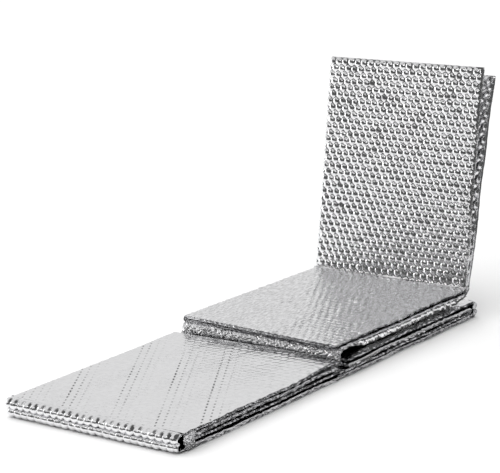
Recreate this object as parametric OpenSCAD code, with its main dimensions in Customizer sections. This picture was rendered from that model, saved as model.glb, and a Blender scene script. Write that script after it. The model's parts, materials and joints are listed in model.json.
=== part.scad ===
// Folding sleeping pad of foil-faced bubble sheet, part unfolded: two lower piles end to end,
// a third panel on the far pile, and the last panel standing up from it.
// The sheet is folded once across its width, so each panel is two leaves joined by a side roll.
// Panels are numbered along the sheet, from the standing end to the loose end of the near pile.
// X runs across the pad, Y along it away from the near end, and Z up. The origin is the centre of
// the face that the far pile's bottom panel rests on.

/* [Sheet] */
// Thickness of the foil and bubble sheet
sheet_t = 6.5; // [4:0.5:8]
// Thickness of each foil facing
foil_t = 0.2; // [0.1:0.05:0.4]
// Air gap between two leaves, and between two stacked panels
leaf_gap = 0.4; // [0.3:0.1:0.8]

/* [Lower panels] */
// Folded width of the four lower panels, across X
lower_w = 300; // [260:1:330]
// Length of the lower panels with their fold roll, along Y
lower_l = 372; // [340:1:400]

/* [Upper panels] */
// Folded width of the two upper panels, across X
upper_w = 284; // [250:1:320]
// Length of the third panel with its fold roll, along Y
upper_l = 346; // [300:1:350]
// Length of the standing panel, from its fold to its free end
stand_l = 338; // [300:1:346]
// Height of the air gap under the third panel
arch_h = 8; // [4:1:14]
// Lean of the standing panel from the vertical, in degrees
lean = 10; // [4:1:16]
// Angle at which the standing panel's back leaf stands off its front leaf, in degrees
splay = 1.5; // [0.5:0.1:2]

/* [Folds] */
// Clearance between a fold roll and the panels that it joins
fold_gap = 0.3; // [0.2:0.05:0.5]
// Width of the flat strip that bridges the middle fold, along Y
bridge_w = 12; // [8:1:20]
// How far the junction fold bulges past the middle fold
junction_bulge = 4; // [0:1:8]

/* [Hidden] */
$fn = 48;
LEAVES = ["lower", "upper"];
LAYERS = ["outer_foil", "bubble_core", "inner_foil"];
FOLDS = ["front_fold_roll", "middle_fold_bridge", "junction_fold_roll", "far_fold_roll", "back_fold_bend"];
PANELS = [1:6];

// Thicknesses
panel_t = 2 * sheet_t + leaf_gap;
pitch = panel_t + leaf_gap;
core_t = sheet_t - 2 * foil_t;
half_gap = leaf_gap / 2;

// Fold radii: a roll wraps two stacked panels, and the junction roll wraps the air gap too
roll_r = panel_t + half_gap;
junction_r = panel_t + arch_h / 2;

// Fold lines along Y
middle_y = -lower_l / 2;
far_y = lower_l / 2 - roll_r;
front_y = -1.5 * lower_l + roll_r;
junction_y = middle_y + junction_r - junction_bulge;
back_y = middle_y + upper_l + 2;

// Heights of the panels' undersides
third_z = pitch + panel_t + arch_h;
back_z = third_z + panel_t + half_gap;
junction_z = (pitch + panel_t + third_z) / 2;

function clear(end) = end + fold_gap;

// Each panel's near end, far end, underside and width; the standing panel is laid flat, from its fold
NEAR = [0, clear(0), junction_y, junction_y, middle_y + bridge_w / 2, front_y, front_y];
FAR = [
    0,
    stand_l,
    back_y,
    far_y,
    far_y,
    middle_y - bridge_w / 2,
    middle_y - junction_bulge - 1
];
BASE = [0, -panel_t - half_gap, third_z, pitch, 0, 0, pitch];
WIDTH = [0, upper_w, upper_w, lower_w, lower_w, lower_w, lower_w];

function leaf_name(p, leaf) = p == 1 ? (leaf == 0 ? "back" : "front") : LEAVES[leaf];
function layer_node(p, leaf, layer) = str("panel_", p, "_", leaf_name(p, leaf), "_", LAYERS[layer]);
function side_node(p) = str("panel_", p, "_side_roll");

// Height of a layer's underside above its leaf's underside, and its thickness;
// the inner foil is the one that faces the panel's other leaf
function layer_t(layer) = layer == 1 ? core_t : foil_t;
function layer_z(leaf, layer) =
    layer == 1 ? foil_t : (layer == 0) == (leaf == 0) ? 0 : sheet_t - foil_t;

// Puts a panel where it lies, and stands the first one up at the back fold
module place(p) {
    if (p == 1)
        translate([0, back_y, back_z])
            rotate([90 - lean, 0, 0])
                children();
    else
        children();
}

// Opens the standing panel's back leaf about its side roll
module open_leaf(p, leaf) {
    spine_x = panel_t / 2 - WIDTH[p] / 2;
    if (p == 1 && leaf == 0)
        translate([spine_x, 0, -roll_r + sheet_t])
            rotate([0, splay, 0])
                translate([-spine_x, 0, roll_r - sheet_t])
                    children();
    else
        children();
}

// One layer of one leaf: a foil facing or the bubble core
module sheet_layer(p, leaf, layer) {
    left = panel_t / 2 - WIDTH[p] / 2 + fold_gap;
    base = BASE[p] + leaf * (sheet_t + leaf_gap) + layer_z(leaf, layer);
    color(layer == 1 ? [0.90, 0.92, 0.94] : [0.76, 0.77, 0.79])
        place(p)
            open_leaf(p, leaf)
                translate([left, NEAR[p], base])
                    cube([WIDTH[p] / 2 - left, FAR[p] - NEAR[p], layer_t(layer)]);
}

// The sheet's turn from one leaf to the other, along a panel's left side
module side_roll(p) {
    color([0.72, 0.73, 0.76])
        place(p)
            translate([panel_t / 2 - WIDTH[p] / 2, FAR[p], BASE[p] + panel_t / 2])
                rotate([90, 0, 0])
                    linear_extrude(FAR[p] - NEAR[p])
                        bent_sheet(half_gap, panel_t / 2, 90, 270);
}

// Section of a bent sheet: a ring from one angle to another
module bent_sheet(inner, outer, from, to) {
    reach = 2 * outer;
    middle = (from + to) / 2;
    intersection() {
        difference() {
            circle(outer);
            circle(inner);
        }
        polygon([
            [0, 0],
            reach * [cos(from), sin(from)],
            reach * [cos(middle), sin(middle)],
            reach * [cos(to), sin(to)]
        ]);
    }
}

// Turns a section drawn in Y and Z into a solid of width w across X
module across(w) {
    translate([-w / 2, 0, 0])
        rotate([90, 0, 90])
            linear_extrude(w)
                children();
}

// Two nested bent sheets with their outer faces on radius r, centred on a fold line
module fold_roll(w, y, z, r, from, to) {
    middle = (from + to) / 2;
    color([0.74, 0.75, 0.78])
        translate([0, y, z] + fold_gap * 1.5 * [0, cos(middle), sin(middle)])
            across(w)
                for (sheet = [0, 1]) {
                    outer = r - sheet * (sheet_t + leaf_gap);
                    bent_sheet(max(outer - sheet_t, fold_gap), outer, from, to);
                }
}

module front_fold_roll() {
    fold_roll(lower_w, front_y, roll_r, roll_r, 90, 270);
}

module far_fold_roll() {
    fold_roll(lower_w, far_y, roll_r, roll_r, -90, 90);
}

module junction_fold_roll() {
    fold_roll(upper_w, junction_y, junction_z, junction_r, 90, 270);
}

module back_fold_bend() {
    fold_roll(upper_w, back_y, back_z, roll_r, -90, -lean);
}

// The flat strip of both leaves between the two lower piles
module middle_fold_bridge() {
    strip = bridge_w - 2 * fold_gap;
    color([0.74, 0.75, 0.78])
        for (leaf = [0, 1])
            translate([-lower_w / 2, middle_y - strip / 2, leaf * (sheet_t + leaf_gap)])
                cube([lower_w, strip, sheet_t]);
}

for (p = PANELS, leaf = [0, 1], layer = [0, 1, 2])
    sheet_layer(p, leaf, layer);
for (p = PANELS)
    side_roll(p);
front_fold_roll();
middle_fold_bridge();
junction_fold_roll();
far_fold_roll();
back_fold_bend();
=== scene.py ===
"""Folding sleeping pad of foil-faced bubble sheet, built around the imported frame. Lengths are in metres."""
import json
import math
import bpy
import numpy as np
from mathutils import Matrix, Vector


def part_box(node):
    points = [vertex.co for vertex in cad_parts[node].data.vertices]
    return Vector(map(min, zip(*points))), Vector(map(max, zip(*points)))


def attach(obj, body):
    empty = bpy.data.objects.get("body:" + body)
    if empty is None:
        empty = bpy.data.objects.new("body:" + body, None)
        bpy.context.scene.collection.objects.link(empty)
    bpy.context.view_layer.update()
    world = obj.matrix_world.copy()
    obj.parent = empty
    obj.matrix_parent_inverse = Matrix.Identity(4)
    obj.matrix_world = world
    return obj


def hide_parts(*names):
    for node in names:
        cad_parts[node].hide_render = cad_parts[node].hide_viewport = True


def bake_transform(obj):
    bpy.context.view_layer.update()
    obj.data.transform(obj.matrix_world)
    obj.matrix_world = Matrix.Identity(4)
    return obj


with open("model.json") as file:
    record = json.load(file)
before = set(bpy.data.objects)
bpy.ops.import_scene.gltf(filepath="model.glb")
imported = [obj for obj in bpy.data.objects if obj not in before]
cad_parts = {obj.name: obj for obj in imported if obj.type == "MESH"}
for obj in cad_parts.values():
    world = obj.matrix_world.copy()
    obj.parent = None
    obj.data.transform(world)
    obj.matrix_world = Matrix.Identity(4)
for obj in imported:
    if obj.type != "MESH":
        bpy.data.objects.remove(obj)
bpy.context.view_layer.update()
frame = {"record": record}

MM = 0.001

# ---------------------------------------------------------------- sizes from the frame
JOINTS = {j["name"]: j for j in frame["record"]["behaviour"]["joints"]}


def low(node):
    return np.array(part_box(node)[0])


def high(node):
    return np.array(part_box(node)[1])


LEAF_T = high("panel_4_lower_inner_foil")[2] - low("panel_4_lower_outer_foil")[2]
PANEL_T = high("panel_4_upper_outer_foil")[2] - low("panel_4_lower_outer_foil")[2]
LEAF_GAP = PANEL_T - 2 * LEAF_T
TURN_R = (PANEL_T - LEAF_T) / 2          # middle of the sheet, at a turn between two leaves
HINGE = np.array(JOINTS["back_fold"]["pos_m"])
STAND_LOW = low("panel_1_front_outer_foil")
STAND_HIGH = high("panel_1_front_outer_foil")
LEAN = math.atan2(STAND_HIGH[1] - STAND_LOW[1], STAND_HIGH[2] - STAND_LOW[2])
STAND_L = math.hypot(STAND_HIGH[1] - STAND_LOW[1], STAND_HIGH[2] - STAND_LOW[2])
HINGE_GAP = 0.2 * MM

# ---------------------------------------------------------------- bubble relief
PITCH = 12.0 * MM                        # bubbles along a row
ROW = 10.4 * MM                          # from one row to the next
BUBBLE_R = 5.6 * MM
SCATTER = 0.35 * MM                      # how far a bubble strays from its place in the rows
ROW_COS, ROW_SIN = 0.866, 0.5            # direction of the slanting rows that bubbles can be drawn out along
rng = np.random.default_rng(7)
VARIETY = rng.normal(0, 1, (64, 64, 3))


def smooth(a, b, x):
    t = np.clip((x - a) / (b - a), 0, 1)
    return t * t * (3 - 2 * t)


def bubbles(s, v, seed=0, drawn=0.0):
    """Relief of the sheet, 0 between the bubbles and about 1 on top of them, for sheet coordinates s and v.
    drawn is how far each bubble is drawn out along a slanting row."""
    best = np.zeros_like(s)
    row0 = np.round(v / ROW).astype(int)
    for dr in (-1, 0, 1):
        row = row0 + dr
        shift = (row % 2) * 0.5
        col0 = np.round(s / PITCH - shift).astype(int)
        for dc in (-1, 0, 1):
            col = col0 + dc
            any_of = VARIETY[(row + 11 * seed) % 64, (col + 5 * seed) % 64]
            from_s = s - ((col + shift) * PITCH + any_of[..., 0] * SCATTER)
            from_v = v - (row * ROW + any_of[..., 1] * SCATTER)
            across = from_s * ROW_COS + from_v * ROW_SIN
            along = from_v * ROW_COS - from_s * ROW_SIN
            d = np.hypot(across * (1 + drawn), along / (1 + drawn)) / BUBBLE_R
            h = np.clip(1 - d ** 3.4, 0, 1) ** 0.75 * (1 + 0.16 * any_of[..., 2])
            best = np.maximum(best, h)
    return np.clip(best, 0, 1.3)


def waves(s, v, size, seed):
    """Smooth uneven field of about -1 to 1, whose features are about size across."""
    g = np.random.default_rng(seed)
    total = np.zeros_like(s)
    for k in range(6):
        a = g.uniform(0, 2 * math.pi)
        f = 2 * math.pi / (size * g.uniform(0.7, 1.6))
        total += np.sin(f * (s * math.cos(a) + v * math.sin(a)) + g.uniform(0, 6.28))
    return total / 3.0


def crumple(s, v, size, seed):
    """Sharp little ridges of creased film, 0 to about 1, about size apart."""
    g = np.random.default_rng(seed)
    total = np.zeros_like(s)
    for k in range(5):
        a = g.uniform(0, math.pi)
        f = math.pi / (size * g.uniform(0.6, 1.5))
        bend_by = 1.3 * np.sin(2.1 * f * (v * math.cos(a) - s * math.sin(a)) + g.uniform(0, 6.28))
        total += 1 - np.abs(np.sin(f * (s * math.cos(a) + v * math.sin(a)) + bend_by + g.uniform(0, 6.28)))
    return total / 5.0


# ---------------------------------------------------------------- mesh makers
SHARP_OVER = math.radians(70)            # edges sharper than this aren't shaded smooth
# rings of points between a rim's two lips: share of the way down, and share of the groove's depth
RIM = ((0.22, 0.5), (0.5, 1.0), (0.78, 0.5))


def make_object(name, verts, faces, material):
    mesh = bpy.data.meshes.new(name)
    mesh.from_pydata(verts.tolist(), [], faces)
    mesh.materials.append(material)
    mesh.polygons.foreach_set("use_smooth", [True] * len(mesh.polygons))
    mesh.set_sharp_from_angle(angle=SHARP_OVER)
    mesh.update()
    obj = bpy.data.objects.new(name, mesh)
    bpy.context.scene.collection.objects.link(obj)
    return obj


def grid_faces(rows, cols, start, flip):
    i, j = np.meshgrid(np.arange(rows - 1), np.arange(cols - 1), indexing="ij")
    a = start + i * cols + j
    quad = np.stack([a, a + cols, a + cols + 1, a + 1], -1).reshape(-1, 4)
    return quad[:, ::-1] if flip else quad


def normals_of(p):
    ds = np.gradient(p, axis=0)
    dv = np.gradient(p, axis=1)
    n = np.cross(ds, dv)
    return n / np.maximum(np.linalg.norm(n, axis=-1, keepdims=True), 1e-12)


def sheet_solid(name, mid, outer, inner, material, groove=1.5):
    """A closed sheet: mid is a grid of points, outer and inner its half thickness on each side of them.
    Its rim is grooved, up to groove millimetres deep, so that the two films show as separate edges."""
    n = normals_of(mid)
    top = mid + n * outer[..., None]
    bottom = mid - n * inner[..., None]
    rows, cols = mid.shape[:2]
    count = rows * cols
    faces = [grid_faces(rows, cols, 0, False), grid_faces(rows, cols, count, True)]
    edge = np.concatenate([
        np.arange(cols),
        np.arange(1, rows) * cols + cols - 1,
        (rows - 1) * cols + np.arange(cols - 2, -1, -1),
        np.arange(rows - 2, 0, -1) * cols,
    ])
    flat_top, flat_bottom, flat_mid = top.reshape(-1, 3), bottom.reshape(-1, 3), mid.reshape(-1, 3)
    i, j = edge // cols, edge % cols
    inner_at = np.clip(i, 1, rows - 2) * cols + np.clip(j, 1, cols - 2)
    inward = flat_mid[inner_at] - flat_mid[edge]
    inward = inward / np.maximum(np.linalg.norm(inward, axis=1, keepdims=True), 1e-9)
    rim = np.linalg.norm(flat_top[edge] - flat_bottom[edge], axis=1)
    depth = np.minimum(1.6 * rim, groove * MM)
    rings = [edge]
    extra = []
    for k, (share, deep) in enumerate(RIM):
        rough = VARIETY[edge % 64, (edge // 64 + 9 * k) % 64, k % 3].clip(-1.5, 1.5)
        ring = flat_top[edge] * (1 - share) + flat_bottom[edge] * share
        extra.append(ring + inward * (depth * deep * (1 + 0.3 * rough))[:, None])
        rings.append(2 * count + k * len(edge) + np.arange(len(edge)))
    rings.append(edge + count)
    for a, b in zip(rings, rings[1:]):
        faces.append(np.stack([a, np.roll(a, -1), np.roll(b, -1), b], -1))
    verts = np.concatenate([flat_top, flat_bottom, *extra])
    verts[:, 2] = np.maximum(verts[:, 2], 0)  # what bears on the floor is flattened by it
    return make_object(name, verts, np.concatenate(faces).tolist(), material)


def spaced(stops):
    """Grid positions from stops of (position, step up to the next stop)."""
    out = []
    for (a, step), (b, _) in zip(stops, stops[1:]):
        n = max(1, int(math.ceil((b - a) / step)))
        out.extend(a + (b - a) * np.arange(n) / n)
    out.append(stops[-1][0])
    return np.array(out)


def curve_through(points, steps):
    """Smooth curve through a few points, as many positions at even spacing."""
    p = np.array(points, float)
    p = np.vstack([2 * p[0] - p[1], p, 2 * p[-1] - p[-2]])
    dense = []
    for i in range(1, len(p) - 2):
        for t in np.linspace(0, 1, 24, endpoint=False):
            a, b, c, d = p[i - 1], p[i], p[i + 1], p[i + 2]
            dense.append(0.5 * (2 * b + (c - a) * t + (2 * a - 5 * b + 4 * c - d) * t ** 2
                                + (3 * b - a - 3 * c + d) * t ** 3))
    dense.append(p[-2])
    dense = np.array(dense)
    length = np.concatenate([[0], np.cumsum(np.linalg.norm(np.diff(dense, axis=0), axis=1))])
    at = np.linspace(0, length[-1], steps)
    return np.stack([np.interp(at, length, dense[:, k]) for k in range(dense.shape[1])], -1), at


# ---------------------------------------------------------------- materials
def node_of(tree, kind, **values):
    node = tree.nodes.new(kind)
    for key, value in values.items():
        if key in node.inputs:
            node.inputs[key].default_value = value
        else:
            setattr(node, key, value)
    return node


# dark dots painted on the top panel's film in slanting rows: painted reflection, standing in for the dark
# reflections that run along rows of bubbles
REFLECTION_DOT_TONE = 0.16                          # how bright the painted reflection dots are, next to the film round them
DOT_WIDE = 1.4 * MM                      # half the width of a row of dots
DOT_STEP = 1.39 * ROW                    # from one dot to the next
SLANT = 0.625                            # how far a row of dots drifts in X for each metre along Y
GRAINED_OVER = 3.0                       # ripples higher than this also grain the film's colour


def compute(tree, operation, a, b=None):
    """A math node on outputs or plain numbers, and its output."""
    node = tree.nodes.new("ShaderNodeMath")
    node.operation = operation
    for k, value in enumerate((a, b)):
        if isinstance(value, (int, float)):
            node.inputs[k].default_value = value
        elif value is not None:
            tree.links.new(value, node.inputs[k])
    return node.outputs[0]


def map_range(tree, value, source, target, smoothed=False):
    """A map range node on an output, from one span to another, and its output."""
    node = tree.nodes.new("ShaderNodeMapRange")
    if smoothed:
        node.interpolation_type = "SMOOTHSTEP"
    for key, number in zip(("From Min", "From Max", "To Min", "To Max"), (*source, *target)):
        node.inputs[key].default_value = number
    tree.links.new(value, node.inputs["Value"])
    return node.outputs["Result"]


def stretched_noise(tree, coordinates, scales, detail):
    """A noise texture whose scale differs along X, Y and Z."""
    stretch = tree.nodes.new("ShaderNodeVectorMath")
    stretch.operation = "MULTIPLY"
    stretch.inputs[1].default_value = scales
    tree.links.new(coordinates, stretch.inputs[0])
    noise = node_of(tree, "ShaderNodeTexNoise", Scale=1.0, Detail=detail, Roughness=0.5)
    tree.links.new(stretch.outputs["Vector"], noise.inputs["Vector"])
    return noise


def foil_material(name, tint, rough_low, rough_high, crinkle, lines=(), streaks=0.0):
    """Aluminised film: metal with cloudy roughness, faint tone changes and fine crinkles.

    lines: places across X of slanting rows of small dark dots painted into the colour, a painted reflection
    of the rows of bubbles, and how strong each is
    streaks: how high the ripples along Y are; high ones also give the film's colour a grain
    """
    material = bpy.data.materials.new(name)
    material.use_nodes = True
    tree = material.node_tree
    shader = tree.nodes["Principled BSDF"]
    shader.inputs["Metallic"].default_value = 1.0
    place = tree.nodes.new("ShaderNodeTexCoord")
    cloud = node_of(tree, "ShaderNodeTexNoise", Scale=38.0, Detail=5.0, Roughness=0.6)
    tree.links.new(place.outputs["Object"], cloud.inputs["Vector"])
    rough = map_range(tree, cloud.outputs["Fac"], (0, 1), (rough_low, rough_high))
    tree.links.new(rough, shader.inputs["Roughness"])
    tone = tree.nodes.new("ShaderNodeValToRGB")
    tone.color_ramp.elements[0].position = 0.35
    tone.color_ramp.elements[0].color = (*[c * 0.93 for c in tint], 1)
    tone.color_ramp.elements[1].position = 0.65
    tone.color_ramp.elements[1].color = (*tint, 1)
    patch = node_of(tree, "ShaderNodeTexNoise", Scale=170.0, Detail=3.0, Roughness=0.5)
    tree.links.new(place.outputs["Object"], patch.inputs["Vector"])
    tree.links.new(patch.outputs["Fac"], tone.inputs["Fac"])
    colour = tone.outputs["Color"]
    if streaks > GRAINED_OVER:
        grain = stretched_noise(tree, place.outputs["Object"], (330.0, 90.0, 1.0), 1.0)
        speck = map_range(tree, grain.outputs["Fac"], (0.35, 0.65), (0.78, 1.08))
        grained = tree.nodes.new("ShaderNodeVectorMath")
        grained.operation = "SCALE"
        tree.links.new(colour, grained.inputs[0])
        tree.links.new(speck, grained.inputs["Scale"])
        colour = grained.outputs["Vector"]
    # painted reflection: dark dots in slanting rows, standing in for the dark reflections along rows of
    # bubbles
    if lines:
        split = tree.nodes.new("ShaderNodeSeparateXYZ")
        tree.links.new(place.outputs["Object"], split.inputs["Vector"])
        x, y = split.outputs["X"], split.outputs["Y"]
        slant = compute(tree, "ADD", x, compute(tree, "MULTIPLY", y, SLANT))
        run = compute(tree, "SUBTRACT", y, compute(tree, "MULTIPLY", x, SLANT))
        patchy = node_of(tree, "ShaderNodeTexNoise", Scale=11.0, Detail=1.0)
        tree.links.new(place.outputs["Object"], patchy.inputs["Vector"])
        dots = None
        for line, strength in lines:
            away = compute(tree, "ABSOLUTE", compute(tree, "SUBTRACT", slant, line))
            mark = compute(tree, "MULTIPLY", compute(tree, "LESS_THAN", away, DOT_WIDE), strength)
            dots = mark if dots is None else compute(tree, "MAXIMUM", dots, mark)
        beat = compute(tree, "SINE", compute(tree, "MULTIPLY", run, 2 * math.pi / DOT_STEP))
        dots = compute(tree, "MULTIPLY", dots, compute(tree, "GREATER_THAN", beat, 0.25))
        # patchy mask of where the painted reflection dots show
        pressed = compute(tree, "MULTIPLY", compute(tree, "SUBTRACT", patchy.outputs["Fac"], 0.36), 5.0)
        pressed = compute(tree, "MINIMUM", compute(tree, "MAXIMUM", pressed, 0.0), 1.0)
        dots = compute(tree, "MULTIPLY", dots, pressed)
        marked = tree.nodes.new("ShaderNodeMix")
        marked.data_type = "RGBA"
        tree.links.new(dots, marked.inputs[0])
        tree.links.new(colour, marked.inputs[6])
        marked.inputs[7].default_value = (*[c * REFLECTION_DOT_TONE for c in tint], 1)
        colour = marked.outputs[2]
    tree.links.new(colour, shader.inputs["Base Color"])
    fold = node_of(tree, "ShaderNodeTexVoronoi", Scale=330.0, Randomness=1.0)
    fold.feature = "DISTANCE_TO_EDGE"
    tree.links.new(place.outputs["Object"], fold.inputs["Vector"])
    crease = node_of(tree, "ShaderNodeTexNoise", Scale=420.0, Detail=6.0, Roughness=0.65, Distortion=0.8)
    tree.links.new(place.outputs["Object"], crease.inputs["Vector"])
    relief = compute(tree, "ADD", fold.outputs["Distance"], crease.outputs["Fac"])
    if streaks:
        ripple = stretched_noise(tree, place.outputs["Object"], (230.0, 75.0, 1.0), 1.5)
        relief = compute(tree, "ADD", relief, compute(tree, "MULTIPLY", ripple.outputs["Fac"], streaks))
    bump = node_of(tree, "ShaderNodeBump", Strength=crinkle, Distance=0.6 * MM)
    tree.links.new(relief, bump.inputs["Height"])
    tree.links.new(bump.outputs["Normal"], shader.inputs["Normal"])
    return material


FOIL = foil_material("foil_bright", (0.82, 0.82, 0.83), 0.06, 0.18, 0.22)
FOIL_FLAT = foil_material("foil_pressed", (0.90, 0.90, 0.91), 0.07, 0.16, 0.10)
TOP_X0, TOP_X1 = low("panel_6_side_roll")[0], high("panel_6_upper_outer_foil")[0]
NEAR_Y = low("panel_6_side_roll")[1]
# places of the painted reflection dots across the top panel
TOP_LINES = [(float(TOP_X0 + (TOP_X1 - TOP_X0) * share + offset * MM + SLANT * NEAR_Y), strength)
             for share in (0.10, 0.34, 0.62, 0.87, 1.10)
             for offset, strength in ((-6, 1.0), (6, 0.9), (18, 0.35), (30, 0.2))]
FOIL_TOP = foil_material("foil_top", (0.90, 0.90, 0.91), 0.06, 0.14, 0.22, TOP_LINES, 2.5)
FOIL_LYING = foil_material("foil_lying", (0.90, 0.90, 0.91), 0.03, 0.08, 0.30, streaks=6.0)
FOIL_EDGE = foil_material("foil_folded", (0.88, 0.88, 0.89), 0.05, 0.14, 0.35)

# ---------------------------------------------------------------- panels
DENSE = 1.7 * MM
COARSE = 6.0 * MM
BORDER = 4.0 * MM                        # pressed band along the cut ends
NEAR_CUT = 45.0 * MM                     # strip along a cut edge that is meshed finely
CORNER = 9.0 * MM                        # rounding of the corners at the fold rolls
PINCH = 14.0 * MM                        # how far in from a cut edge the sheet gets thinner
EDGE_STEPS = 2.8 * MM                    # strip along a cut edge that is meshed most finely
LOOSE = 45.0 * MM                        # how far in from a cut edge a leaf is free to wave
LEAF_PLAY = 0.6 * MM                     # how far a leaf waves up and down
EDGE_PLAY = 1.5 * MM                     # how far its cut edge wanders in and out
FRAY_UP, FRAY_OUT = 0.35 * MM, 0.7 * MM  # both again, for the short waves of a frayed edge
BACK_OPEN = 27 * MM                      # how far the standing panel's back leaf stands off, at its corner
BACK_SHORT = 12 * MM                     # the back leaf takes the longer way round its fold
FOLD_IN = 22 * MM                        # how far back from a fold roll the inner leaves turn
LIP = 15 * MM                            # how far the third panel's top leaf reaches over the junction fold
# bands of the near top panel where bubbles stand up more: place across it, half width, and how much more
TRACKS = ((0.22, 0.07, 1.6), (0.48, 0.07, 1.6), (0.74, 0.07, 1.6))


def folded_profile(width, dense_lower, dense_upper):
    """Positions along the section of a panel: lower leaf from its cut edge, side turn, upper leaf."""
    flat = width - PANEL_T / 2
    turn = math.pi * TURN_R
    end = 2 * flat + turn
    s = spaced([
        (0, 0.7 * MM), (EDGE_STEPS, 1.2 * MM), (PINCH, DENSE), (NEAR_CUT, DENSE if dense_lower else COARSE),
        (flat, turn / 10), (flat + turn, DENSE if dense_upper else COARSE), (end - NEAR_CUT, DENSE),
        (end - PINCH, 1.2 * MM), (end - EDGE_STEPS, 0.7 * MM), (end, 1),
    ])
    return s, flat, turn


def section(s, flat, turn):
    """x from the turn's centre and height from the panel's middle, for the middle of the folded sheet."""
    x = np.where(s < flat, flat - s, np.where(s > flat + turn, s - flat - turn, 0))
    z = np.where(s < flat, -TURN_R, TURN_R)
    a = np.clip((s - flat) / turn, 0, 1) * math.pi
    bend = (s >= flat) & (s <= flat + turn)
    x = np.where(bend, -TURN_R * np.sin(a), x)
    z = np.where(bend, -TURN_R * np.cos(a), z)
    return x, z


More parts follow.
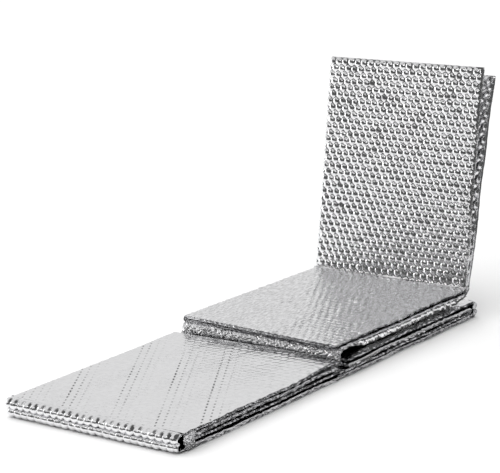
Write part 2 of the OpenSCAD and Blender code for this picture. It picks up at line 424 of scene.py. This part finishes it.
def panel(name, body, p, relief_lower, relief_upper, dense, material, ends=(0, 0), seed=0, splay=None,
          edge_out=0.0, inset=(0, 0, 0, 0), relief_inside=0.0, tracks=(), pinch=(0.55, 0.55), rise_far=0.0,
          lip=False, sag=0.0, corners=(0, 0), lift=0.0, fray=1.0, groove=5.0, drawn=0.0):
    """One folded panel as a bubble sheet. Pairs go lower leaf and upper leaf, or near end and far end.

    relief: the bubbles' height on a leaf's outer face; relief_inside: on the faces between the leaves
    dense: which leaves are meshed finely; ends: which ends are pressed flat; seed: which bubbles it gets
    splay: how far the back leaf stands off; edge_out: how far the upper cut edge is out, and the lower one in
    inset: how far each leaf stops short: lower near and far, upper near and far
    corners: which of the corners at the side turn are rounded
    tracks: bands where bubbles stand up more; drawn: how far bubbles are drawn out along a slant
    pinch: share of its thickness left at a leaf's cut edge; rise_far: how far the upper leaf's far end climbs
    lip: the upper leaf reaches past the near end; sag: how far the lower leaf hangs, away from the side turn
    lift: how far the near left corner stands up; fray and groove: roughness and groove of the cut edge, in mm
    """
    side = f"panel_{p}_side_roll"
    leaves = ("back", "front") if p == 1 else ("lower", "upper")
    lower_foil = f"panel_{p}_{leaves[0]}_outer_foil"
    upper_foil = f"panel_{p}_{leaves[1]}_outer_foil"
    x0 = low(side)[0]
    x1 = high(upper_foil)[0]
    width = x1 - x0
    s, flat, turn = folded_profile(width, *dense)
    if p == 1:
        y0, y1 = HINGE_GAP * 1.5, STAND_L
    else:
        y0, y1 = low(side)[1], high(side)[1]
    between = DENSE if any(dense) else 2.6 * MM
    v = spaced([(y0, 1.4 * MM), (y0 + BORDER, between), (y1 - BORDER, 1.4 * MM), (y1, 1)])
    S, V = np.meshgrid(s, v, indexing="ij")
    x, z = section(S, flat, turn)
    upper = S > flat + turn / 2
    rise = smooth(flat - LOOSE, flat + turn * 0.4, S)
    rounding = CORNER * (1 - np.sqrt(1 - (1 - np.clip((x + TURN_R) / CORNER, 0, 1)) ** 2))
    from_left = (x + TURN_R) / (flat + TURN_R)
    if lip:
        near_in = -LIP * (0.25 + 0.75 * from_left) * rise
    else:
        near_in = inset[0] + (inset[2] - inset[0]) * rise + rounding * corners[0]
    far_in = inset[1] + (inset[3] - inset[1]) * rise + rounding * corners[1]
    along = (V - y0) / (y1 - y0)
    from_cut = np.minimum(S, 2 * flat + turn - S)
    relief = np.where(upper, relief_upper, relief_lower)
    relief = relief + (relief_lower - relief) * (1 - smooth(flat, flat + turn, S)) * upper
    flat_band = smooth(0.1, 1.0, (V - y0) / BORDER if ends[0] else np.full_like(V, 9.0))
    flat_band = flat_band * smooth(0.1, 1.0, (y1 - V) / BORDER if ends[1] else np.full_like(V, 9.0))
    side_band = smooth(2 * MM, 7 * MM, from_cut)
    b = bubbles(S - flat - turn, V - y0 + 3 * MM, seed + p, drawn) * flat_band * side_band
    for centre, half_width, gain in tracks:
        relief = relief * (1 + gain * (1 - smooth(0.5, 1.0, np.abs(x / flat - centre) / half_width)) * upper)
    least = np.where(upper, pinch[1], pinch[0])
    thin = least + (1 - least) * smooth(-1 * MM, PINCH, from_cut)
    thin = thin * (0.72 + 0.28 * smooth(-0.4 * MM, 2.4 * MM, from_cut))
    if lip:
        near_edge = smooth(-0.5 * MM, 2.5 * MM, V - y0)
        thin = thin * np.where(upper, 0.6 + 0.4 * near_edge, 1)
    for k, y_end in enumerate((V - y0, y1 - V)):
        if ends[k]:
            thin = thin * (0.62 + 0.38 * smooth(-1.0 * MM, BORDER, y_end) ** 0.8)
    # where a leaf is pinched it keeps near to its outer face
    z = z + LEAF_T / 2 * (1 - thin) * np.where(upper, 0.7, -0.7) * (from_cut < PINCH)
    # the cut edges wander a little, each leaf its own way
    loose = 1 - smooth(0, LOOSE, from_cut)
    own = [waves(V, 0 * V, 80 * MM, 41 + 7 * p + leaf) * LEAF_PLAY for leaf in (0, 1)]
    z = z + loose * np.where(upper, own[1], own[0])
    frayed = [fray * waves(V, 0 * V, 15 * MM, 141 + 7 * p + leaf) for leaf in (0, 1)]
    close_in = 1 - smooth(0, PINCH, from_cut)
    z = z + close_in * FRAY_UP * np.where(upper, frayed[1], frayed[0])
    edge_wander = (EDGE_PLAY * waves(V, 0 * V, 150 * MM, 20 + p)
                   + FRAY_OUT * close_in * np.where(upper, frayed[0], frayed[1]))
    sagging = smooth(0.07, 0.20, along) * (1 - smooth(0.90, 0.99, along)) * smooth(0, 90 * MM, flat - S)
    thick_by = sag * sagging * smooth(60 * MM, 8 * MM, from_cut) * ~upper
    z = z - sag * sagging * ~upper + thick_by / 2
    z = z + lift * (1 - along) * (1 - from_left)
    x = x + (1 - smooth(0, 120 * MM, from_cut)) * (edge_wander + np.where(upper, edge_out, -edge_out))
    z = z + rise_far * smooth(0.72, 1.0, along) ** 1.2 * upper * (0.3 + 0.7 * from_left)
    half = LEAF_T / 2 * thin + thick_by / 2
    outer = np.maximum(half - relief * 0.9 * thin, 0.5 * MM) + b * relief * 0.9
    inner = np.maximum(half * 0.96 - relief_inside * thin, 0.4 * MM) + b * relief_inside * thin
    px = x0 + PANEL_T / 2 + x
    if p == 1:
        w = -(HINGE_GAP + PANEL_T / 2) + z
        if splay is not None:
            w = w - splay(np.where(upper, 0, x) / flat, (V - y0) / (y1 - y0))
        c, t = math.cos(LEAN), math.sin(LEAN)
        # along the panel is up and back; w is towards its front
        V = V + (near_in * (1 - along) - far_in * along)
        py = HINGE[1] + V * t + w * -c
        pz = HINGE[2] + V * c + w * t
    else:
        py = V + near_in * (1 - along) - far_in * along
        pz = (low(lower_foil)[2] + high(upper_foil)[2]) / 2 + z
    mid = np.stack([px, py, pz], -1)
    obj = sheet_solid(name, mid, outer, inner, material, groove)
    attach(obj, body)
    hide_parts(side, *[f"panel_{p}_{leaf}_{layer}" for leaf in leaves
                             for layer in ("outer_foil", "bubble_core", "inner_foil")])


def open_back(across, up):
    """How far the standing panel's back leaf stands off: nothing at the fold, most at its free corner."""
    return BACK_OPEN * np.clip(across, 0, 1) ** 1.3 * np.clip(up, 0, 1) ** 0.9


panel("panel_1_sheet", "panel_1", 1, 1.7 * MM, 1.9 * MM, (True, True), FOIL,
      ends=(0, 1), seed=1, splay=open_back, inset=(0, BACK_SHORT, 0, 0), relief_inside=1.7 * MM,
      fray=0.3, groove=0.5, drawn=0.11)
panel("panel_2_sheet", "panel_2", 2, 0.8 * MM, 0.9 * MM, (False, True), FOIL_LYING, seed=2,
      edge_out=0.5 * MM, tracks=((0.62, 0.06, 0.8), (0.3, 0.05, 0.5)), pinch=(0.9, 0.5), lip=True,
      sag=6.6 * MM, lift=3 * MM, groove=3.0)
panel("panel_3_sheet", "panel_3", 3, 0.8 * MM, 0.9 * MM, (False, False), FOIL_FLAT, seed=3,
      edge_out=-1.5 * MM, inset=(0, FOLD_IN * 0.6, 0, 0), pinch=(0.7, 0.8), corners=(0, 1))
panel("panel_4_sheet", "panel_4", 4, 0.8 * MM, 0.8 * MM, (True, False), FOIL_FLAT, seed=4,
      edge_out=1.5 * MM, inset=(0, 0, 0, FOLD_IN * 0.6), pinch=(0.8, 0.7), corners=(0, 1))
panel("panel_5_sheet", "panel_5", 5, 0.8 * MM, 0.8 * MM, (True, False), FOIL_FLAT, seed=5,
      edge_out=-1 * MM, inset=(0, 0, FOLD_IN, 0), pinch=(0.8, 0.7), corners=(1, 0))
panel("panel_6_sheet", "panel_6", 6, 0.8 * MM, 0.34 * MM, (False, True), FOIL_TOP,
      ends=(0, 1), seed=6, edge_out=1.5 * MM, inset=(FOLD_IN, 0, 0, 0), tracks=TRACKS,
      pinch=(0.7, 0.8), rise_far=5 * MM, corners=(1, 0))


# ---------------------------------------------------------------- folds
replaced = set()                         # CAD nodes that a fold's first sheet has taken the place of


def fold_sheet(name, node, points, relief, thick, seed, close_left=True,
               cover=None, rows_at=None, creases=0.5, crease_size=9 * MM, corner=0, left_in=0.0, lift=0.0):
    """A fold: a section in Y and Z swept across the pad, with bubbles on its outer side.

    close_left: its left end is drawn in; left_in: how far that end stops short; cover: where bubbles show
    rows_at: places along the section of two rows of bubbles; creases: height of the wrinkles, in mm
    corner: which way its left corner is rounded; lift: how far its left end's top stands up
    """
    x0, x1 = low(node)[0] + left_in, high(node)[0]
    steps = 7 * len(points)
    prof, along = curve_through(points, steps)
    x = spaced([(x0, 1.0 * MM), (x0 + 12 * MM, DENSE), (x1 - 10 * MM, 1.2 * MM), (x1, 1)])
    X, K = np.meshgrid(x, np.arange(steps), indexing="ij")
    A = along[K]
    Y, Z = prof[K, 0], prof[K, 1]
    cy, cz = prof[[0, -1], 0].mean(), prof[:, 1].mean()
    if close_left:
        t = np.clip((X - x0) / (11 * MM), 0, 1)
        shrink = np.sqrt(np.clip(1 - (1 - t) ** 2, 0.0, 1))
        Y = cy + (Y - cy) * (0.22 + 0.78 * shrink)
        Z = cz + (Z - cz) * (0.86 + 0.14 * shrink)
    Y = Y + corner * CORNER * (1 - np.sqrt(1 - (1 - np.clip((X - x0) / CORNER, 0, 1)) ** 2))
    if lift:
        Z = Z + lift * (x1 - X) / (x1 - x0) * smooth(0.3, 1.0, (Z - Z.min()) / np.ptp(Z))
    wander = waves(X, A * 0, 70 * MM, seed)
    Y = Y + 0.7 * MM * wander * np.sin(math.pi * A / along[-1])
    mid = np.stack([X, Y, Z], -1)
    edge = np.minimum(X - x0, x1 - X)
    rows = A if rows_at is None else (A / along[-1] - rows_at[0]) / (rows_at[1] - rows_at[0]) * ROW
    b = bubbles(X - x1, rows, seed) * smooth(1 * MM, 5 * MM, edge)
    fade = smooth(0.5 * MM, 7 * MM, np.minimum(A, along[-1] - A))
    if cover is not None:
        b = b * cover(Z)
    half = thick / 2 * (0.45 + 0.55 * smooth(-1 * MM, 6 * MM, x1 - X))
    wrinkle = (crumple(X, A, crease_size, seed + 50) - 0.25) * creases * MM
    obj = sheet_solid(name, mid, half + fade * (b * relief - relief - wrinkle), half, FOIL_EDGE)
    if node not in replaced:
        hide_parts(node)
        replaced.add(node)
    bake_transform(obj)


def two_lobes(y, z_low, z_high, reach, valley, way, valley_z=None):
    """Section of a fold from its low end to its high end, with a creased valley between two bulges."""
    zm = (z_low + z_high) / 2 if valley_z is None else valley_z
    up, down = z_high - zm, zm - z_low
    into = y - way * 1.3 * MM
    reach_out = way * reach
    return [
        (into, z_low + 0.05 * MM), (y + reach_out * 0.55, z_low + 0.02 * down),
        (y + reach_out, z_low + 0.42 * down), (y + reach_out * 0.86, z_low + 0.82 * down),
        (y + way * (reach - valley), zm),
        (y + reach_out * 0.86, z_high - 0.82 * up), (y + reach_out, z_high - 0.42 * up),
        (y + reach_out * 0.55, z_high - 0.02 * up), (into, z_high - 0.05 * MM),
    ]


def round_turn(y, z_low, z_high, reach, way):
    a = np.linspace(-math.pi / 2, math.pi / 2, 7)
    zc, r = (z_low + z_high) / 2, (z_high - z_low) / 2
    return [(y + way * reach * math.cos(t), zc + r * math.sin(t)) for t in a]


HALF_T = LEAF_T / 2
ROLL_RELIEF = 2.4 * MM                   # height of the bubbles on the front and far rolls
ROLL_ROWS = (0.27, 0.73)                 # where their two rows of bubbles are, along the section
front_lo, front_hi = low("front_fold_roll"), high("front_fold_roll")
far_lo, far_hi = low("far_fold_roll"), high("far_fold_roll")
front_y = front_hi[1]
far_y = far_lo[1]
depth = front_hi[1] - front_lo[1]


def crease_cover(zc, width):
    return lambda z: smooth(0.3 * width, width, np.abs(z - zc))


mid_front = (front_lo[2] + front_hi[2]) / 2
fold_sheet("front_fold_outer", "front_fold_roll",
           two_lobes(front_y, front_lo[2] + HALF_T, front_hi[2] - HALF_T, depth - HALF_T, 4.2 * MM, -1),
           ROLL_RELIEF, LEAF_T * 0.97, 11, cover=crease_cover(mid_front, 2.2 * MM), rows_at=ROLL_ROWS,
           corner=1)
fold_sheet("front_fold_inner", "front_fold_roll",
           round_turn(front_y + FOLD_IN, mid_front - TURN_R, mid_front + TURN_R, TURN_R * 1.6, -1),
           0.4 * MM, LEAF_T * 0.6, 12)


def tucked_end(name, y_from, y_to, z_low, z_high, x_at, seed):
    """The crumpled end of a fold, tucked in between its outer and inner sheets."""
    y = np.linspace(y_from, y_to, 34)
    z = np.linspace(z_low, z_high, 30)
    Y, Z = np.meshgrid(y, z, indexing="ij")
    u = (Z - z_low) / (z_high - z_low)
    X = x_at - 5 * MM * np.sin(math.pi * u) - 4.5 * MM * crumple(Y, Z, 5 * MM, seed)
    obj = sheet_solid(name, np.stack([X, Y, Z], -1), 0 * X + 0.4 * MM, 0 * X + 0.4 * MM, FOIL_EDGE)
    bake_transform(obj)


tucked_end("front_fold_tuck", front_y + FOLD_IN - 15 * MM, front_y + FOLD_IN + 6 * MM, front_lo[2] + 3 * MM,
           front_hi[2] - 3 * MM, front_hi[0] + 3 * MM, 31)
mid_far = (far_lo[2] + far_hi[2]) / 2
fold_sheet("far_fold_outer", "far_fold_roll",
           two_lobes(far_y, far_lo[2] + HALF_T, far_hi[2] - HALF_T, depth - HALF_T, 4.2 * MM, 1)[::-1],
           ROLL_RELIEF, LEAF_T * 0.97, 13, cover=crease_cover(mid_far, 2.2 * MM), rows_at=ROLL_ROWS,
           corner=-1)
fold_sheet("far_fold_inner", "far_fold_roll",
           round_turn(far_y - FOLD_IN * 0.6, mid_far - TURN_R, mid_far + TURN_R, TURN_R * 1.6, 1)[::-1],
           0.4 * MM, LEAF_T * 0.6, 14)
j_lo, j_hi = low("junction_fold_roll"), high("junction_fold_roll")
j_y = j_hi[1]
j_reach = j_hi[1] - j_lo[1] - HALF_T - 3 * MM
j_inside = HALF_T + LEAF_T + LEAF_GAP
roll_top = j_hi[2] - LEAF_T - 3.4 * MM
fold_sheet("junction_fold_outer", "junction_fold_roll",
           two_lobes(j_y, j_lo[2] + HALF_T, roll_top - HALF_T, j_reach, 2.5 * MM, -1,
                     valley_z=j_lo[2] + 0.42 * (roll_top - j_lo[2])),
           0.9 * MM, LEAF_T * 0.9, 15, creases=5.5, crease_size=6.5 * MM, left_in=2 * MM, lift=3 * MM)
fold_sheet("junction_fold_inner", "junction_fold_roll",
           round_turn(j_y, j_lo[2] + j_inside, j_hi[2] - j_inside, j_reach * 0.5, -1),
           0.4 * MM, LEAF_T * 0.5, 16)


def bend_section(radius):
    """Section of the back fold, from the lying panel's end round to the standing panel's end."""
    a = np.linspace(-math.pi / 2, -LEAN, 6)
    return [(HINGE[1] + radius * math.cos(t), HINGE[2] + radius * math.sin(t)) for t in a]


for label, radius, bump in (("outer", PANEL_T + HINGE_GAP - HALF_T, 1.2 * MM),
                            ("inner", HINGE_GAP + HALF_T, 0.3 * MM)):
    fold_sheet(f"back_fold_{label}", "back_fold_bend", bend_section(radius)[::-1],
               bump, LEAF_T * 0.9, 17, close_left=False)
m_lo, m_hi = low("middle_fold_bridge"), high("middle_fold_bridge")
for label, z in (("lower", m_lo[2] + HALF_T), ("upper", m_hi[2] - HALF_T)):
    flat_points = [(m_lo[1] + (m_hi[1] - m_lo[1]) * k / 4, z) for k in range(5)]
    fold_sheet(f"middle_fold_{label}", "middle_fold_bridge", flat_points[::-1],
               0.4 * MM, LEAF_T * 0.9, 18, close_left=False)

# ---------------------------------------------------------------- floor, light and camera
DARK_WALL = 0.09                         # brightness of the studio's walls
LIT_WALL = 0.77                          # and of the one on the left, behind the pad
CEILING = 0.79                           # and overhead, toward the left only
FLOOR_FILL = 3.2
FLOOR_TONE = 0.78
FLOOR_HALF = 14.0                        # half the floor's width
floor_mesh = bpy.data.meshes.new("floor")
floor_mesh.from_pydata([(x * FLOOR_HALF, y * FLOOR_HALF, 0) for x, y in ((-1, -1), (1, -1), (1, 1), (-1, 1))],
                       [], [(0, 1, 2, 3)])
floor = bpy.data.objects.new("floor", floor_mesh)
bpy.context.scene.collection.objects.link(floor)
floor_material = bpy.data.materials.new("floor_white")
floor_material.use_nodes = True
floor_tree = floor_material.node_tree
floor_shader = floor_tree.nodes["Principled BSDF"]
floor_shader.inputs["Roughness"].default_value = 0.9
floor_shader.inputs["Specular IOR Level"].default_value = 0.0
floor_shader.inputs["Base Color"].default_value = (*[FLOOR_TONE] * 3, 1)
floor_mesh.materials.append(floor_material)

world = bpy.data.worlds.new("studio")
world.use_nodes = True
bpy.context.scene.world = world
sky = world.node_tree
background = sky.nodes["Background"]
direction = sky.nodes.new("ShaderNodeTexCoord")
toward = sky.nodes.new("ShaderNodeVectorMath")
toward.operation = "DOT_PRODUCT"
toward.inputs[1].default_value = (-0.80, 0.60, 0.0)
sky.links.new(direction.outputs["Generated"], toward.inputs[0])
wall = map_range(sky, toward.outputs["Value"], (0.15, 0.85), (DARK_WALL, LIT_WALL), smoothed=True)
parts = sky.nodes.new("ShaderNodeSeparateXYZ")
sky.links.new(direction.outputs["Generated"], parts.inputs["Vector"])
overhead = map_range(sky, parts.outputs["Z"], (0.40, 0.50), (0, 1))
minus_x = compute(sky, "MULTIPLY", parts.outputs["X"], -1.0)
leftward = map_range(sky, minus_x, (-0.2, 0.5), (0, 1), smoothed=True)
mix = sky.nodes.new("ShaderNodeMix")
mix.data_type = "FLOAT"
sky.links.new(compute(sky, "MULTIPLY", overhead, leftward), mix.inputs[0])
sky.links.new(wall, mix.inputs[2])
mix.inputs[3].default_value = CEILING
sky.links.new(mix.outputs[0], background.inputs["Strength"])
background.inputs["Color"].default_value = (1, 1, 1, 1)


def area_light(name, place, target, size, radiance):
    """A soft box of a given brightness."""
    lamp = bpy.data.lights.new(name, "AREA")
    lamp.shape = "RECTANGLE"
    lamp.size, lamp.size_y = size
    lamp.energy = radiance * math.pi * size[0] * size[1]
    obj = bpy.data.objects.new(name, lamp)
    obj.location = place
    obj.rotation_euler = (Vector(target) - Vector(place)).to_track_quat("-Z", "Y").to_euler()
    bpy.context.scene.collection.objects.link(obj)


area_light("left_box", (-2.3, -0.75, 0.55), (0, 0.1, 0.15), (0.40, 1.2), 3.2)
area_light("front_top_strip", (0.2, -2.2, 1.9), (0, 0, 0.2), (1.6, 0.35), 2.2)
fill = bpy.data.lights.new("floor_fill", "SUN")
fill.energy = FLOOR_FILL
fill.angle = math.radians(100)
fill_obj = bpy.data.objects.new("floor_fill", fill)
fill_obj.rotation_euler = (math.radians(12), math.radians(-10), 0)
fill_obj.visible_glossy = False
bpy.context.scene.collection.objects.link(fill_obj)
bpy.context.scene.view_settings.view_transform = "Standard"

# the camera looks from the front right and a little above
AZIMUTH = math.radians(37.38)
ELEVATION = math.radians(13.55)
ROLL = math.radians(-2.16)
DISTANCE = 2.912
FOCAL = 2042.1 / 500                     # focal length over the image's width
TARGET = Vector((-0.0037, low("panel_4_side_roll")[1] - 6 * MM, 0.1882))
lens = bpy.data.cameras.new("camera")
lens.sensor_width = 36
lens.lens = 36 * FOCAL
lens.clip_end = 100
camera = bpy.data.objects.new("camera", lens)
level = math.cos(ELEVATION)
back = Vector((math.sin(AZIMUTH) * level, -math.cos(AZIMUTH) * level, math.sin(ELEVATION)))
camera.location = TARGET + back * DISTANCE
facing = (-back).to_track_quat("-Z", "Y").to_matrix().to_4x4()
camera.rotation_euler = (facing @ Matrix.Rotation(ROLL, 4, "Z")).to_euler()
bpy.context.scene.collection.objects.link(camera)
bpy.context.scene.camera = camera
